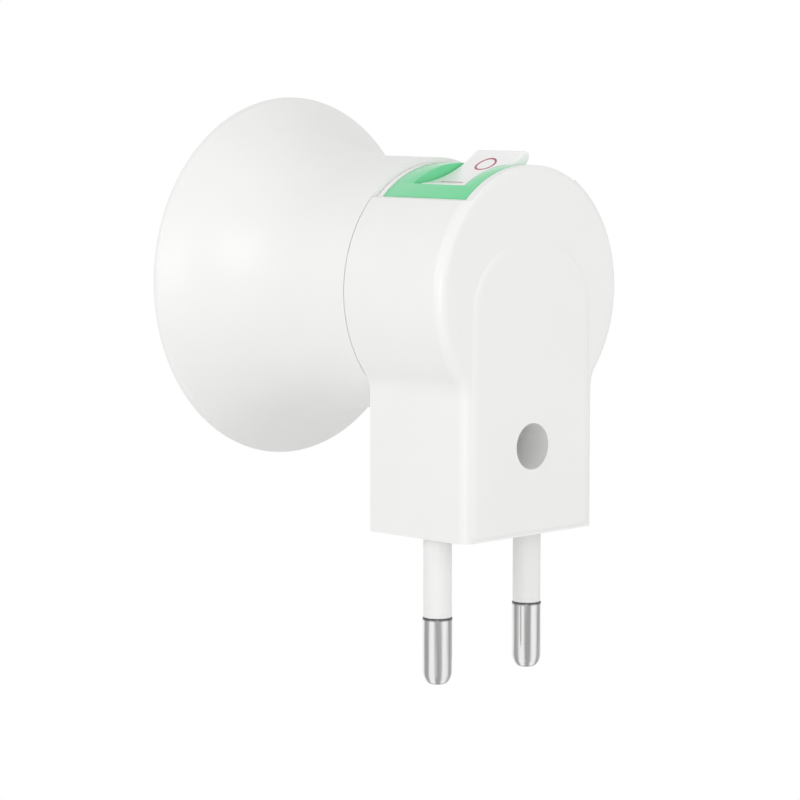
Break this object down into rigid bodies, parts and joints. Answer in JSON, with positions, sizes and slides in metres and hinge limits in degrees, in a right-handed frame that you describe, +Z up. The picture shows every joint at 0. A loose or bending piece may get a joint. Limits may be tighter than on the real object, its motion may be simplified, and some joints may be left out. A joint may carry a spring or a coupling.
{
  "type": "plug-in lamp holder",
  "caption": "Plug-in screw lamp holder: bell-mouthed socket on an upright plug block with flat plug pins, a set-in rocker switch on top and a recessed fixing screw behind.",
  "frame": {"origin": "midway between the two plug pins, on the face of the plug block that meets the wall socket", "axes": "+Z up the plug block, with the pins hanging down along -Z and standing apart along X; the lamp axis runs along Y and the bell opens towards -Y; the fixing screw goes in from +Y"},
  "size_m": [0.0504, 0.0477, 0.0775],
  "materials": {
    "housing_white": "moulded, satin gloss",
    "switch_green": "moulded, gloss",
    "rocker_white": "moulded, gloss",
    "sleeve_white": "moulded",
    "plated_brass": "bright nickel plate on brass",
    "screw_shell_metal": "drawn, bright",
    "base_board": "pressed board",
    "rivet_metal": "set rivet heads",
    "contact_brass": "rolled strip",
    "contact_silver": "silver contact point",
    "spring_steel": "drawn wire",
    "screw_steel": "zinc plated"
  },
  "bodies": {
    "holder": {"bell_shell": "housing_white", "rear_housing": "housing_white", "screw_shell": "screw_shell_metal", "socket_base": "base_board", "shell_rivet_left": "rivet_metal", "shell_rivet_right": "rivet_metal", "centre_rivet": "rivet_metal", "centre_contact": "contact_brass", "switch_body": "switch_green", "fixed_point": "contact_silver", "fixed_terminal": "contact_brass", "middle_terminal": "contact_brass", "pin_left": "plated_brass", "pin_right": "plated_brass", "sleeve_left": "sleeve_white", "sleeve_right": "sleeve_white", "housing_screw": "screw_steel", "live_strip": "contact_brass", "switched_strip": "contact_brass", "neutral_strip": "contact_brass"},
    "rocker": {"rocker": "rocker_white", "plunger_spring": "spring_steel"},
    "plunger": {"plunger": "sleeve_white"},
    "seesaw": {"seesaw_contact": "contact_brass", "moving_point": "contact_silver"}
  },
  "joints": [
    {"name": "rocker_rock", "type": "hinge", "parent": "holder", "child": "rocker", "pos_m": [0.00134, 0, 0.04617], "axis": [0, -1, 0], "range_deg": [0, 31]},
    {"name": "seesaw_rock", "type": "hinge", "parent": "holder", "child": "seesaw", "pos_m": [0.00068, 0, 0.03932], "axis": [0, -1, 0], "range_deg": [-17.05, 0]},
    {"name": "plunger_slide", "type": "slide", "parent": "rocker", "child": "plunger", "axis": [0.3584, 0, 0.9336], "range_m": [0, 0.0004], "deforming": ["plunger_spring"]}
  ],
  "couplings": [
    {"joint": "seesaw_rock", "follows": "rocker_rock", "ratio": -0.55}
  ]
}
